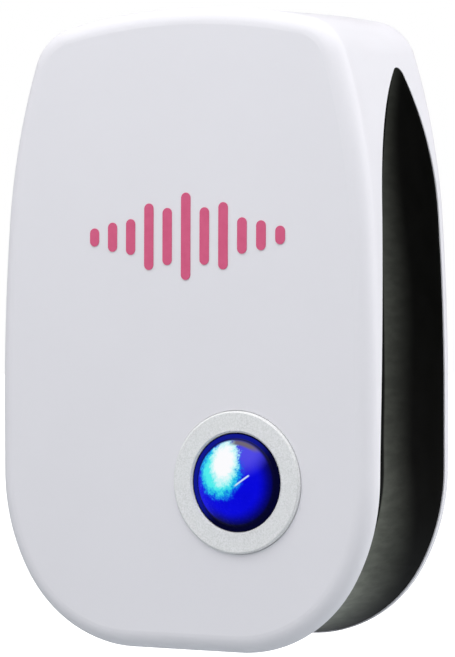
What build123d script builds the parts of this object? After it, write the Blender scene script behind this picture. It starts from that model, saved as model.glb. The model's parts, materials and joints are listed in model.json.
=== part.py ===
"""Plug-in ultrasonic pest repeller with a press-to-light lamp in its front cover.

Units are millimetres. The origin is the middle of the plug's seating face, between its two
pins. +Y points into the wall, +Z up, and the front of the body faces -Y.
"""

from build123d import *
from math import asin, cos, degrees, hypot, pi
import os

# ---------------------------------------------------------------- driving dimensions

BODY_HEIGHT = 120.0
PLUG_ABOVE_MIDDLE = 8.0  # the plug sits a little above the middle of the body
WALL = 2.0  # thickness of the moulded covers
FIT_GAP = 0.15  # gap between neighbouring mouldings
PRESS_GAP = 0.03  # radial gap where one piece is pressed into another
SCREW_HOLE_GAP = 0.05  # radial gap round a screw's thread

RIM_Y = -47.5  # plane where the front rounding meets the sides
FACE_BULGE = 4.5  # how far the front face stands forward of that plane
CROWN_RADIUS = 2400.0  # the front face is part of a very large ball
FRONT_EDGE_RADIUS = 3.5
SPLIT_Y = -20.5  # front cover and rear cover meet here
BACK_Y = -17.5  # outside of the rear cover
BACK_EDGE_RADIUS = 2.0
BACK_RISE = 1.4  # the back of the body stands this much higher than its front

FRAME_INSET = 2.2  # dark frame's sleeve, measured in from the body's outline
FRAME_INNER_INSET = 4.0
BAND_FRONT_INSET = 0.7  # the visible dark band swells from this inset at its front edge
BAND_MIDDLE_INSET = 0.1
BAND_REAR_INSET = 0.2
BAND_LEAD = 1.1  # the band's lower front edge lies this far ahead of the rim plane
FOOT_LIFT = 3.4  # the dark frame's foot is raised this much, so the front cover overhangs it
BAND_MIDDLE_LIFT = 2.1
LIP_INSET = 4.2  # rear cover's locating lip, inside the frame
LIP_INNER_INSET = 5.4

PIN_SPACING = 19.0
PIN_RADIUS = 2.0
PIN_REACH = 19.0  # pin length beyond the seating face
PIN_CORE_RADIUS = 1.4
SLEEVE_REACH = 10.0  # insulated part of the pin
SLEEVE_RADIUS = 1.8
PLUG_LONG = 35.3
PLUG_SHORT = 13.7
PLUG_FLANGE = 1.5  # width of the flange that holds the plug insert in the rear cover

LAMP_X = 12.3  # lamp centre, right of the middle
LAMP_ABOVE_BOTTOM = 31.8
RING_RADIUS = 13.2
RING_OPENING = 9.2
RING_PROUD = 0.6  # how far the ring stands out of the face
DOME_RADIUS = 8.2  # radius of the dome at its foot
DOME_HEIGHT = 3.0
BUTTON_TRAVEL = 1.5

MARK_WIDTH = 43.4
MARK_HEIGHT = 16.2
MARK_X = 1.6
MARK_ABOVE_BOTTOM = 77.2
MARK_THICKNESS = 0.12
MARK_BARS = 11
MARK_SHORTEST = 0.2  # of the tallest bar
MARK_ALTERNATE = 0.62  # every second bar is held back by this much
MARK_SKIN = 0.005  # the print floats this far off the face, so they never share a surface

BOARD_BACK_Y = -24.0
BOARD_THICKNESS = 1.6
BOARD_WIDTH = 52.0
BOARD_BOTTOM_Z = -46.0
BOARD_TOP_Z = 30.0
SCREW_RADIUS = 1.3
SCREW_HEAD_RADIUS = 2.6
SCREW_HEAD_HEIGHT = 1.7
SCREW_LENGTH = 12.0
SMALL_SCREW_RADIUS = 0.9
SMALL_HEAD_RADIUS = 1.7
SMALL_HEAD_HEIGHT = 1.2

CASE_SCREW_PLACES = [(24, 35), (-24, 35), (24.5, -49.2), (-24.5, -49.2)]
BOARD_SCREW_PLACES = [(23, 27), (-23, 27), (23, -43), (-23, -43)]

# ---------------------------------------------------------------- derived places

BOTTOM_Z = -BODY_HEIGHT / 2 - PLUG_ABOVE_MIDDLE
MIDDLE_Z = -PLUG_ABOVE_MIDDLE
FACE_Y = RIM_Y - FACE_BULGE
REAR_INSIDE_Y = BACK_Y - WALL
BOARD_FACE_Y = BOARD_BACK_Y - BOARD_THICKNESS
RISE_PER_MM = BACK_RISE / (BACK_Y - RIM_Y)
LEAN = (0, 1, RISE_PER_MM)  # direction of the body's sides, front to back
BALL_CENTRE = (0, FACE_Y + CROWN_RADIUS, MIDDLE_Z)
LAMP_Z = BOTTOM_Z + LAMP_ABOVE_BOTTOM
MARK_Z = BOTTOM_Z + MARK_ABOVE_BOTTOM

STAND = (Align.CENTER, Align.CENTER, Align.MIN)
HANG = (Align.CENTER, Align.CENTER, Align.MAX)
FAR = 200.0  # larger than the whole object, for cutting through it

os.makedirs("parts", exist_ok=True)


def facing_front(y, x=0, z=0):
    """Vertical plane at depth y that faces forward. Its local x is +X, its local y is +Z."""
    return Plane(origin=(x, y, z), x_dir=(1, 0, 0), z_dir=(0, -1, 0))


def facing_back(y, x=0, z=0):
    """Vertical plane at depth y that faces the wall. Its local x is -X, its local y is +Z."""
    return Plane(origin=(x, y, z), x_dir=(-1, 0, 0), z_dir=(0, 1, 0))


def section_plane(y):
    """Plane of the body's cross-section at depth y, with its origin on the lowest point."""
    return facing_front(y, z=BOTTOM_Z + RISE_PER_MM * (y - RIM_Y))


def along_lean(front_y, back_y):
    """Length of an extrusion along the leaning sides from one depth to another."""
    return hypot(1, RISE_PER_MM) * (back_y - front_y)


def crown_y(x, z):
    """Depth of the crowned front face at a place on it."""
    return FACE_Y + (x**2 + (z - MIDDLE_Z) ** 2) / (2 * CROWN_RADIUS)


def save(name, piece):
    """Label a finished piece and write it as its own file."""
    piece.label = name
    export_step(piece, f"parts/{name}.step")


# ---------------------------------------------------------------- outlines and forms


def body_outline(inset=0.0, foot_lift=0.0):
    """Front outline of the body above its lowest point, shrunk by inset and with a raised foot."""
    with BuildSketch() as outline:
        with BuildLine():
            foot = Line((0, foot_lift), (11.5, foot_lift))
            heel = JernArc(foot @ 1, foot % 1, radius=27, arc_size=60)
            calf = JernArc(heel @ 1, heel % 1, radius=38, arc_size=30)
            hip = Line(calf @ 1, calf @ 1 + Vector(0, 12.5 - foot_lift))
            side = JernArc(hip @ 1, hip % 1, radius=510, arc_size=3.93)
            temple = JernArc(side @ 1, side % 1, radius=130, arc_size=13.75)
            corner = JernArc(temple @ 1, temple % 1, radius=10, arc_size=60.03)
            JernArc(corner @ 1, corner % 1, radius=BODY_HEIGHT, arc_size=Axis.Y)
            mirror(about=Plane.YZ)
        make_face()
        if inset:
            offset(amount=-inset, kind=Kind.INTERSECTION)
    return outline.sketch


def fin_outline(clearance=0.0):
    """Side view of the opening that shows the dark frame: local x is depth behind the rim
    plane, local y is height above the body's lowest point. It runs out at the bottom."""
    with BuildSketch() as fin:
        with BuildLine():
            front = Line((-BAND_LEAD, -20), (-BAND_LEAD, 25))
            lean = JernArc(front @ 1, front % 1, radius=450, arc_size=-7.3)
            shoulder = JernArc(lean @ 1, lean % 1, radius=39.7, arc_size=-49)
            back = ThreePointArc(shoulder @ 1, (25.2, 97), (27, 80))
            Polyline(back @ 1, (27, -20), front @ 0)
        make_face()
        fillet(fin.vertices().sort_by(Axis.Y)[-1], radius=2.5)
        if clearance:
            offset(amount=-clearance, kind=Kind.INTERSECTION)
    return fin.sketch


def body_form(inset=0.0, foot_lift=0.0):
    """Solid form of the whole body, shrunk by inset on its front and sides."""
    start = FACE_Y - 2
    with BuildPart() as form:
        with BuildSketch(section_plane(start)):
            add(body_outline(inset, foot_lift))
        extrude(amount=along_lean(start, BACK_Y), dir=LEAN)
        with Locations(BALL_CENTRE):
            Sphere(CROWN_RADIUS - inset, mode=Mode.INTERSECT)
        fillet(form.faces().sort_by(Axis.Y)[0].edges(), radius=FRONT_EDGE_RADIUS - inset)
    return form.part


def fin_prism(clearance=0.0):
    """The side opening carried right across the body's width."""
    side_plane = Plane(origin=(-FAR / 2, RIM_Y, BOTTOM_Z), x_dir=(0, 1, 0), z_dir=(1, 0, 0))
    with BuildPart() as prism:
        with BuildSketch(side_plane):
            add(fin_outline(clearance))
        extrude(amount=FAR)
    return prism.part


def rim_ring(outer_inset, inner_inset, front_y, back_y):
    """Band that follows the raised-foot outline between two insets and two depths."""
    with BuildPart() as ring:
        with BuildSketch(section_plane(front_y)):
            add(body_outline(outer_inset, FOOT_LIFT))
            add(body_outline(inner_inset, FOOT_LIFT), mode=Mode.SUBTRACT)
        extrude(amount=along_lean(front_y, back_y), dir=LEAN)
    return ring.part


outer_form = body_form()
inner_form = body_form(WALL, FOOT_LIFT)
fin_opening = fin_prism()

# ---------------------------------------------------------------- front cover

RING_RECESS = 0.9  # depth of the ring's recess in the face
RING_SEAT_Y = crown_y(LAMP_X, LAMP_Z) + RING_RECESS
RING_CLEARANCE = 0.1
RING_SPIGOT_RADIUS = 10.5
CASE_POST_RADIUS = 3.0
HOUSING_POST_X = 14.6  # lamp housing's posts, each side of the lamp
HOUSING_POST_RADIUS = 2.2
HOUSING_EAR_Y = -46.0
POST_ROOT_Y = FACE_Y + 1.5  # posts are rooted here in the front wall
FRONT_DEPTH = 5.0  # enough to cut forward from the ring's seat and clear the face

with BuildPart() as front_cover:
    add(outer_form)
    add(inner_form, mode=Mode.SUBTRACT)
    split(bisect_by=facing_front(SPLIT_Y), keep=Keep.TOP)
    add(fin_opening, mode=Mode.SUBTRACT)
    with BuildSketch(facing_front(SPLIT_Y)):
        with Locations(*CASE_SCREW_PLACES):
            Circle(CASE_POST_RADIUS)
            Circle(SCREW_RADIUS + SCREW_HOLE_GAP, mode=Mode.SUBTRACT)
    extrude(amount=SPLIT_Y - POST_ROOT_Y)
    with BuildSketch(facing_front(HOUSING_EAR_Y, LAMP_X, LAMP_Z)):
        with Locations((HOUSING_POST_X, 0), (-HOUSING_POST_X, 0)):
            Circle(HOUSING_POST_RADIUS)
            Circle(SMALL_SCREW_RADIUS + SCREW_HOLE_GAP, mode=Mode.SUBTRACT)
    extrude(amount=HOUSING_EAR_Y - POST_ROOT_Y)
    with BuildSketch(facing_front(RING_SEAT_Y, LAMP_X, LAMP_Z)):
        Circle(RING_RADIUS + RING_CLEARANCE)
    extrude(amount=FRONT_DEPTH, mode=Mode.SUBTRACT)
    with BuildSketch(facing_front(RING_SEAT_Y, LAMP_X, LAMP_Z)):
        Circle(RING_SPIGOT_RADIUS + RING_CLEARANCE)
    extrude(amount=FRONT_DEPTH, both=True, mode=Mode.SUBTRACT)
save("front_cover", front_cover.part)

# ---------------------------------------------------------------- dark middle frame

SOUND_SLOTS = 5
SOUND_SLOT_PITCH = 3.2
SOUND_SLOT_LENGTH = 14.0
SOUND_SLOT_WIDTH = 1.6
FRAME_FRONT_Y = RIM_Y - 0.5  # the sleeve reaches this far into the front cover
PIEZO_Y = -34.0

with BuildPart() as band:
    for depth, inset, foot_lift in (
        (RIM_Y - BAND_LEAD, BAND_FRONT_INSET, FOOT_LIFT),
        ((RIM_Y + SPLIT_Y) / 2, BAND_MIDDLE_INSET, BAND_MIDDLE_LIFT),
        (SPLIT_Y, BAND_REAR_INSET, 0),
    ):
        with BuildSketch(section_plane(depth)):
            add(body_outline(inset, foot_lift))
    loft()
    add(fin_prism(FIT_GAP), mode=Mode.INTERSECT)

with BuildPart() as mid_frame:
    add(band.part)
    add(rim_ring(FRAME_INSET, FRAME_INNER_INSET, FRAME_FRONT_Y, SPLIT_Y))
    with BuildSketch(section_plane(FACE_Y)):
        add(body_outline(FRAME_INNER_INSET, FOOT_LIFT))
    extrude(amount=along_lean(FACE_Y, BACK_Y), dir=LEAN, mode=Mode.SUBTRACT)
    with BuildSketch(Plane.XY.offset(BOTTOM_Z)):
        with Locations((0, PIEZO_Y)):
            with GridLocations(SOUND_SLOT_PITCH, 0, SOUND_SLOTS, 1):
                SlotOverall(SOUND_SLOT_LENGTH, SOUND_SLOT_WIDTH, rotation=90)
    extrude(amount=FRAME_INNER_INSET + FOOT_LIFT + BACK_RISE, both=True, mode=Mode.SUBTRACT)
save("mid_frame", mid_frame.part)

# ---------------------------------------------------------------- rear cover

COUNTERBORE_DEPTH = 1.9
COUNTERBORE_RADIUS = SCREW_HEAD_RADIUS + 0.4
SCREW_SEAT_Y = BACK_Y - COUNTERBORE_DEPTH
SCREW_PASS_RADIUS = SCREW_RADIUS + 0.2  # case screws pass freely through the rear cover
LIP_REACH = 2.0  # the locating lip stands this far into the frame
BOSS_ROOT_Y = REAR_INSIDE_Y + 0.5  # lip and bosses are rooted here in the rear wall
CASE_BOSS_RADIUS = 4.0
BOARD_BOSS_RADIUS = 2.4
BOARD_HOLE_DEPTH = 5.0
PLUG_OPENING_GAP = 0.2  # all round the plug insert

with BuildPart() as rear_cover:
    add(outer_form)
    split(bisect_by=facing_front(SPLIT_Y), keep=Keep.BOTTOM)
    fillet(rear_cover.faces().sort_by(Axis.Y)[-1].edges(), radius=BACK_EDGE_RADIUS)
    with BuildSketch(section_plane(SPLIT_Y)):
        add(body_outline(LIP_INSET, FOOT_LIFT))
    extrude(amount=along_lean(SPLIT_Y, REAR_INSIDE_Y), dir=LEAN, mode=Mode.SUBTRACT)
    add(rim_ring(LIP_INSET, LIP_INNER_INSET, SPLIT_Y - LIP_REACH, BOSS_ROOT_Y))
    with BuildSketch(facing_front(BOSS_ROOT_Y)):
        with Locations(*CASE_SCREW_PLACES):
            Circle(CASE_BOSS_RADIUS)
    extrude(amount=BOSS_ROOT_Y - SPLIT_Y)
    with BuildSketch(facing_front(BOSS_ROOT_Y)):
        with Locations(*BOARD_SCREW_PLACES):
            Circle(BOARD_BOSS_RADIUS)
    extrude(amount=BOSS_ROOT_Y - BOARD_BACK_Y)
    with BuildSketch(facing_front(BOARD_BACK_Y)):
        with Locations(*BOARD_SCREW_PLACES):
            Circle(SMALL_SCREW_RADIUS + SCREW_HOLE_GAP)
    extrude(amount=-BOARD_HOLE_DEPTH, mode=Mode.SUBTRACT)
    with Locations(facing_back(BACK_Y)):
        with Locations(*CASE_SCREW_PLACES):
            CounterBoreHole(SCREW_PASS_RADIUS, COUNTERBORE_RADIUS, COUNTERBORE_DEPTH, FAR)
    with BuildSketch(facing_front(BACK_Y)):
        SlotOverall(PLUG_LONG + 2 * PLUG_OPENING_GAP, PLUG_SHORT + 2 * PLUG_OPENING_GAP)
    extrude(amount=FAR, both=True, mode=Mode.SUBTRACT)
save("rear_cover", rear_cover.part)

# ---------------------------------------------------------------- fasteners


def screw(head_radius, head_height, shank_radius, length):
    """Cross-head screw along Z: its head sits on z = 0 and its shank hangs below."""
    cross_span = head_radius * 1.1
    cross_width = head_radius * 0.25
    cross_depth = head_height * 0.6
    with BuildPart() as body:
        Cylinder(head_radius, head_height, align=STAND)
        fillet(body.edges().sort_by(Axis.Z)[-1], radius=head_height * 0.4)
        Cylinder(shank_radius, length, align=HANG)
        chamfer(body.edges().sort_by(Axis.Z)[0], length=shank_radius * 0.4)
        with BuildSketch(Plane.XY.offset(head_height)):
            Rectangle(cross_span, cross_width)
            Rectangle(cross_width, cross_span)
        extrude(amount=-cross_depth, mode=Mode.SUBTRACT)
    return body.part


case_screw = screw(SCREW_HEAD_RADIUS, SCREW_HEAD_HEIGHT, SCREW_RADIUS, SCREW_LENGTH)
small_screw = screw(SMALL_HEAD_RADIUS, SMALL_HEAD_HEIGHT, SMALL_SCREW_RADIUS, 5.5)

with BuildPart(facing_back(SCREW_SEAT_Y)) as case_screws:
    with Locations(*CASE_SCREW_PLACES):
        add(case_screw)
save("case_screws", case_screws.part)

with BuildPart(facing_front(BOARD_FACE_Y)) as board_screws:
    with Locations(*BOARD_SCREW_PLACES):
        add(small_screw)
save("board_screws", board_screws.part)

# ---------------------------------------------------------------- plug

FLANGE_THICKNESS = 1.2
PLUG_FLANGE_Y = REAR_INSIDE_Y - FLANGE_THICKNESS  # inner face of the insert's flange
PIN_FLANGE_Y = PLUG_FLANGE_Y - FLANGE_THICKNESS
PIN_FLANGE_RADIUS = 3.2
PIN_END_Y = -23.4
PIN_TIP_ROUNDING = 1.4
PLUG_DRAFT = 1.0  # taper of the plug body in degrees
PLUG_DRAFT_SHRINK = 0.6  # how much slimmer the seating face is than the insert
PLUG_EDGE_ROUNDING = 0.8

with BuildPart() as plug_base:
    with BuildSketch(facing_front(0)):
        SlotOverall(PLUG_LONG - PLUG_DRAFT_SHRINK, PLUG_SHORT - PLUG_DRAFT_SHRINK)
    extrude(amount=-BACK_Y, taper=-PLUG_DRAFT)
    fillet(plug_base.faces().sort_by(Axis.Y)[-1].edges(), radius=PLUG_EDGE_ROUNDING)
    with BuildSketch(facing_front(BACK_Y)):
        SlotOverall(PLUG_LONG, PLUG_SHORT)
    extrude(amount=BACK_Y - REAR_INSIDE_Y)
    with BuildSketch(facing_front(REAR_INSIDE_Y)):
        SlotOverall(PLUG_LONG + 2 * PLUG_FLANGE, PLUG_SHORT + 2 * PLUG_FLANGE)
    extrude(amount=REAR_INSIDE_Y - PLUG_FLANGE_Y)
    with BuildSketch(facing_front(0)):
        with GridLocations(PIN_SPACING, 0, 2, 1):
            Circle(PIN_RADIUS + PRESS_GAP)
    extrude(amount=FAR, both=True, mode=Mode.SUBTRACT)
save("plug_base", plug_base.part)

with BuildPart() as plug_pin:
    with BuildSketch(Plane.XY):
        with BuildLine():
            Polyline(
                (0, PIN_END_Y),
                (PIN_RADIUS, PIN_END_Y),
                (PIN_RADIUS, PIN_FLANGE_Y),
                (PIN_FLANGE_RADIUS, PIN_FLANGE_Y),
                (PIN_FLANGE_RADIUS, PLUG_FLANGE_Y),
                (PIN_RADIUS, PLUG_FLANGE_Y),
                (PIN_RADIUS, 0),
                (PIN_CORE_RADIUS, 0),
                (PIN_CORE_RADIUS, SLEEVE_REACH),
                (PIN_RADIUS, SLEEVE_REACH),
                (PIN_RADIUS, PIN_REACH),
                (0, PIN_REACH),
                close=True,
            )
        make_face()
    revolve(axis=Axis.Y)
    fillet(plug_pin.edges().group_by(Axis.Y)[-1], radius=PIN_TIP_ROUNDING)

for side, name in ((-1, "plug_pin_left"), (1, "plug_pin_right")):
    with BuildPart() as placed_pin:
        with Locations((side * PIN_SPACING / 2, 0, 0)):
            add(plug_pin.part)
    save(name, placed_pin.part)

with BuildPart() as pin_sleeves:
    with BuildSketch(facing_back(PRESS_GAP)):
        with GridLocations(PIN_SPACING, 0, 2, 1):
            Circle(SLEEVE_RADIUS)
            Circle(PIN_CORE_RADIUS + PRESS_GAP, mode=Mode.SUBTRACT)
    extrude(amount=SLEEVE_REACH - 2 * PRESS_GAP)
save("pin_sleeves", pin_sleeves.part)

CLIP_THICKNESS = 0.6
CLIP_RADIUS = 3.4
CLIP_TAB_WIDTH = 2.6
CLIP_REACH = 6.5  # from the pin's middle to the end of the solder tab

with BuildPart() as pin_clips:
    with BuildSketch(facing_front(PIN_FLANGE_Y)):
        for side in (-1, 1):
            with Locations((side * PIN_SPACING / 2, 0)):
                Circle(CLIP_RADIUS)
            with Locations((side * (PIN_SPACING + CLIP_REACH) / 2, 0)):
                Rectangle(CLIP_REACH, CLIP_TAB_WIDTH)
            with Locations((side * PIN_SPACING / 2, 0)):
                Circle(PIN_RADIUS + PRESS_GAP, mode=Mode.SUBTRACT)
    extrude(amount=CLIP_THICKNESS)
save("pin_clips", pin_clips.part)

# ---------------------------------------------------------------- lamp button

RING_FRONT_Y = crown_y(LAMP_X, LAMP_Z) - RING_PROUD
SPIGOT_LENGTH = 3.9
SPIGOT_END_Y = RING_FRONT_Y + SPIGOT_LENGTH
RING_ROUNDING = 0.35  # how far the ring's two lips fall back from its face
FLANGE_Y = SPIGOT_END_Y + 0.2  # front of the lens flange
LENS_FLANGE_THICKNESS = 1.0
DOME_FOOT_Y = RING_FRONT_Y + 0.3
LENS_SKIRT_RADIUS = RING_OPENING - FIT_GAP
LENS_FLANGE_RADIUS = 10.2
LENS_BORE_RADIUS = 7.9
SKIRT_END_Y = -45.6
DOME_BALL_RADIUS = (DOME_RADIUS**2 + DOME_HEIGHT**2) / (2 * DOME_HEIGHT)
DOME_TIP_Y = DOME_FOOT_Y - DOME_HEIGHT
DOME_ANGLE = degrees(asin(DOME_RADIUS / DOME_BALL_RADIUS))
DOME_WALL = 1.3
LENS_POST_RADIUS = 1.6
PLUNGER_TOP_Y = -48.0
LAMP_AXIS = Axis((LAMP_X, 0, LAMP_Z), (0, 1, 0))
lamp_section = Plane(origin=(LAMP_X, 0, LAMP_Z), x_dir=(1, 0, 0), z_dir=(0, 0, 1))

with BuildPart() as bezel_ring:
    with BuildSketch(lamp_section):
        with BuildLine():
            Polyline(
                (RING_RADIUS, RING_SEAT_Y),
                (RING_RADIUS, RING_FRONT_Y + RING_ROUNDING),
                (RING_RADIUS - RING_ROUNDING, RING_FRONT_Y),
                (RING_OPENING + RING_ROUNDING, RING_FRONT_Y),
                (RING_OPENING, RING_FRONT_Y + RING_ROUNDING),
                (RING_OPENING, SPIGOT_END_Y),
                (RING_SPIGOT_RADIUS, SPIGOT_END_Y),
                (RING_SPIGOT_RADIUS, RING_SEAT_Y),
                close=True,
            )
        make_face()
    revolve(axis=LAMP_AXIS)
save("bezel_ring", bezel_ring.part)

with BuildPart() as lamp_lens:
    with BuildSketch(lamp_section):
        with BuildLine():
            dome = JernArc((0, DOME_TIP_Y), (1, 0), radius=DOME_BALL_RADIUS, arc_size=DOME_ANGLE)
            outside = Polyline(
                dome @ 1,
                (LENS_SKIRT_RADIUS, DOME_FOOT_Y),
                (LENS_SKIRT_RADIUS, FLANGE_Y),
                (LENS_FLANGE_RADIUS, FLANGE_Y),
                (LENS_FLANGE_RADIUS, FLANGE_Y + LENS_FLANGE_THICKNESS),
                (LENS_SKIRT_RADIUS, FLANGE_Y + LENS_FLANGE_THICKNESS),
                (LENS_SKIRT_RADIUS, SKIRT_END_Y),
                (LENS_BORE_RADIUS, SKIRT_END_Y),
                (LENS_BORE_RADIUS, DOME_FOOT_Y + DOME_WALL),
            )
            hollow = RadiusArc(
                outside @ 1, (LENS_POST_RADIUS, DOME_TIP_Y + DOME_WALL), DOME_BALL_RADIUS
            )
            Polyline(
                hollow @ 1,
                (LENS_POST_RADIUS, PLUNGER_TOP_Y),
                (0, PLUNGER_TOP_Y),
                dome @ 0,
            )
        make_face()
    revolve(axis=LAMP_AXIS)
save("lamp_lens", lamp_lens.part)

# ---------------------------------------------------------------- lamp mechanism

HOUSING_FRONT_Y = POST_ROOT_Y + 1.6
HOUSING_FLOOR_Y = -41.4
HOUSING_BACK_Y = -40.0
HOUSING_RADIUS = 12.0
HOUSING_HOLE_RADIUS = 7.0
HOUSING_STOP_Y = FLANGE_Y + LENS_FLANGE_THICKNESS + BUTTON_TRAVEL + 2 * FIT_GAP
HOUSING_STOP_RADIUS = 9.5
FLANGE_ROOM = 0.5  # radial room round the sliding lens flange
EAR_THICKNESS = 1.5
EAR_RADIUS = 2.6
EAR_BACK_Y = HOUSING_EAR_Y + EAR_THICKNESS
POST_PLACES = [(HOUSING_POST_X, 0), (-HOUSING_POST_X, 0)]
EAR_ARM_X = HOUSING_POST_X - 1.6  # middle of the arm that joins an ear to the housing
EAR_ARM_PLACES = [(EAR_ARM_X, 0), (-EAR_ARM_X, 0)]
EAR_ARM_LENGTH = 3.2
LED_BOARD_FACE_Y = HOUSING_BACK_Y + 0.1
LED_BOARD_BACK_Y = LED_BOARD_FACE_Y + 1.2
SWITCH_TOP_Y = -44.4
LED_RING_RADIUS = 5.2
LED_RADIUS = 1.35
LED_FLANGE_RADIUS = 1.6
LED_HEIGHT = 2.2  # up to the foot of its round tip

with BuildPart() as lamp_housing:
    with BuildSketch(facing_front(HOUSING_BACK_Y, LAMP_X, LAMP_Z)):
        Circle(HOUSING_RADIUS)
        Circle(HOUSING_HOLE_RADIUS, mode=Mode.SUBTRACT)
    extrude(amount=HOUSING_BACK_Y - HOUSING_FRONT_Y)
    with BuildSketch(facing_front(HOUSING_FLOOR_Y, LAMP_X, LAMP_Z)):
        Circle(HOUSING_STOP_RADIUS)
    extrude(amount=FAR, mode=Mode.SUBTRACT)
    with BuildSketch(facing_front(HOUSING_STOP_Y, LAMP_X, LAMP_Z)):
        Circle(LENS_FLANGE_RADIUS + FLANGE_ROOM)
    extrude(amount=FAR, mode=Mode.SUBTRACT)
    with BuildSketch(facing_front(EAR_BACK_Y, LAMP_X, LAMP_Z)):
        with Locations(*POST_PLACES):
            Circle(EAR_RADIUS)
        with Locations(*EAR_ARM_PLACES):
            Rectangle(EAR_ARM_LENGTH, 2 * EAR_RADIUS)
        with Locations(*POST_PLACES):
            Circle(SMALL_SCREW_RADIUS + 2 * SCREW_HOLE_GAP, mode=Mode.SUBTRACT)
    extrude(amount=EAR_THICKNESS - PRESS_GAP)
save("lamp_housing", lamp_housing.part)

with BuildPart(facing_back(EAR_BACK_Y, LAMP_X, LAMP_Z)) as housing_screws:
    with Locations(*POST_PLACES):
        add(screw(SMALL_HEAD_RADIUS, SMALL_HEAD_HEIGHT, SMALL_SCREW_RADIUS, 4.5))
save("housing_screws", housing_screws.part)

SPRING_WIRE_RADIUS = 0.3
SPRING_RADIUS = 8.5
SPRING_TURNS = 3.5
SPRING_END_GAP = 0.05
SPRING_LENGTH = HOUSING_FLOOR_Y - SKIRT_END_Y - 2 * (SPRING_WIRE_RADIUS + SPRING_END_GAP)
SPRING_START = (LAMP_X, HOUSING_FLOOR_Y - SPRING_WIRE_RADIUS - SPRING_END_GAP, LAMP_Z)

with BuildPart() as return_spring:
    with BuildLine() as coil:
        Helix(
            pitch=SPRING_LENGTH / SPRING_TURNS,
            height=SPRING_LENGTH,
            radius=SPRING_RADIUS,
            center=SPRING_START,
            direction=(0, -1, 0),
        )
    with BuildSketch(Plane(origin=coil.line @ 0, z_dir=coil.line % 0)):
        Circle(SPRING_WIRE_RADIUS)
    sweep(is_frenet=True)
save("return_spring", return_spring.part)

with BuildPart() as led_board:
    with BuildSketch(facing_front(LED_BOARD_BACK_Y, LAMP_X, LAMP_Z)):
        Circle(HOUSING_RADIUS - 0.4)
    extrude(amount=LED_BOARD_BACK_Y - LED_BOARD_FACE_Y)
save("led_board", led_board.part)

with BuildPart(facing_front(LED_BOARD_FACE_Y, LAMP_X, LAMP_Z)) as blue_leds:
    with PolarLocations(LED_RING_RADIUS, 4):
        Cylinder(LED_FLANGE_RADIUS, 0.7, align=STAND)
        Cylinder(LED_RADIUS, LED_HEIGHT, align=STAND)
        with Locations((0, 0, LED_HEIGHT)):
            Sphere(LED_RADIUS)
save("blue_leds", blue_leds.part)

SWITCH_SIZE = 5.8
SWITCH_FLOOR = 0.3
PLUNGER_SIZE = 2.4
PLUNGER_CAP_SIZE = 3.4
PLUNGER_END_Y = -42.2
PLUNGER_CAP_Y = SWITCH_TOP_Y - BUTTON_TRAVEL - 0.4  # the cap stays clear of the switch

with BuildPart(facing_front(LED_BOARD_FACE_Y, LAMP_X, LAMP_Z)) as push_switch:
    Box(SWITCH_SIZE, SWITCH_SIZE, LED_BOARD_FACE_Y - SWITCH_TOP_Y, align=STAND)
    fillet(push_switch.edges().filter_by(Axis.Y), radius=0.4)
    with Locations((0, 0, SWITCH_FLOOR)):
        hole_size = PLUNGER_SIZE + 2 * FIT_GAP
        Box(hole_size, hole_size, SWITCH_SIZE, align=STAND, mode=Mode.SUBTRACT)
save("push_switch", push_switch.part)

with BuildPart(facing_front(PLUNGER_END_Y, LAMP_X, LAMP_Z)) as switch_plunger:
    stem_length = PLUNGER_END_Y - PLUNGER_CAP_Y
    Box(PLUNGER_SIZE, PLUNGER_SIZE, stem_length, align=STAND)
    with Locations((0, 0, stem_length)):
        Box(PLUNGER_CAP_SIZE, PLUNGER_CAP_SIZE, PLUNGER_CAP_Y - PLUNGER_TOP_Y, align=STAND)
save("switch_plunger", switch_plunger.part)

# ---------------------------------------------------------------- printed mark

with BuildPart() as printed_mark:
    bar_pitch = MARK_WIDTH / MARK_BARS
    with BuildSketch(facing_front(RIM_Y, MARK_X, MARK_Z)):
        for bar in range(MARK_BARS):
            place = bar - (MARK_BARS - 1) / 2
            swell = cos(place / MARK_BARS * pi) ** 2 * (1 if bar % 2 else MARK_ALTERNATE)
            bar_height = MARK_HEIGHT * (MARK_SHORTEST + (1 - MARK_SHORTEST) * swell)
            with Locations((place * bar_pitch, 0)):
                SlotOverall(bar_height, bar_pitch / 2, rotation=90)
    extrude(amount=2 * FACE_BULGE)
    with Locations(BALL_CENTRE):
        Sphere(CROWN_RADIUS + MARK_THICKNESS, mode=Mode.INTERSECT)
        Sphere(CROWN_RADIUS + MARK_SKIN, mode=Mode.SUBTRACT)
save("printed_mark", printed_mark.part)

# ---------------------------------------------------------------- sounder

PIEZO_BOTTOM_Z = BOTTOM_Z + 9.2
HOLDER_HEIGHT = 7.0
HOLDER_RADIUS = 9.6
HOLDER_TOP = 1.2  # thickness of the holder's closed top
HOLDER_MOUTH = 3.2  # depth of the wide mouth that takes the gasket and the disc
WIRE_HOLE_RADIUS = 0.8
WIRE_HOLE_SPACING = 6.0
DISC_RADIUS = 8.4
DISC_THICKNESS = 0.4
CERAMIC_RADIUS = 6.0
CERAMIC_THICKNESS = 0.3
GASKET_HEIGHT = 2.1
GASKET_WIDTH = 1.6

with BuildPart(Plane.XY.offset(PIEZO_BOTTOM_Z)) as piezo_holder:
    with Locations((0, PIEZO_Y)):
        Cylinder(HOLDER_RADIUS, HOLDER_HEIGHT, align=STAND)
        Cylinder(DISC_RADIUS + 0.1, HOLDER_MOUTH, align=STAND, mode=Mode.SUBTRACT)
        Cylinder(DISC_RADIUS - 1, HOLDER_HEIGHT - HOLDER_TOP, align=STAND, mode=Mode.SUBTRACT)
        with GridLocations(WIRE_HOLE_SPACING, 0, 2, 1):
            Cylinder(WIRE_HOLE_RADIUS, FAR, mode=Mode.SUBTRACT)
save("piezo_holder", piezo_holder.part)

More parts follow.
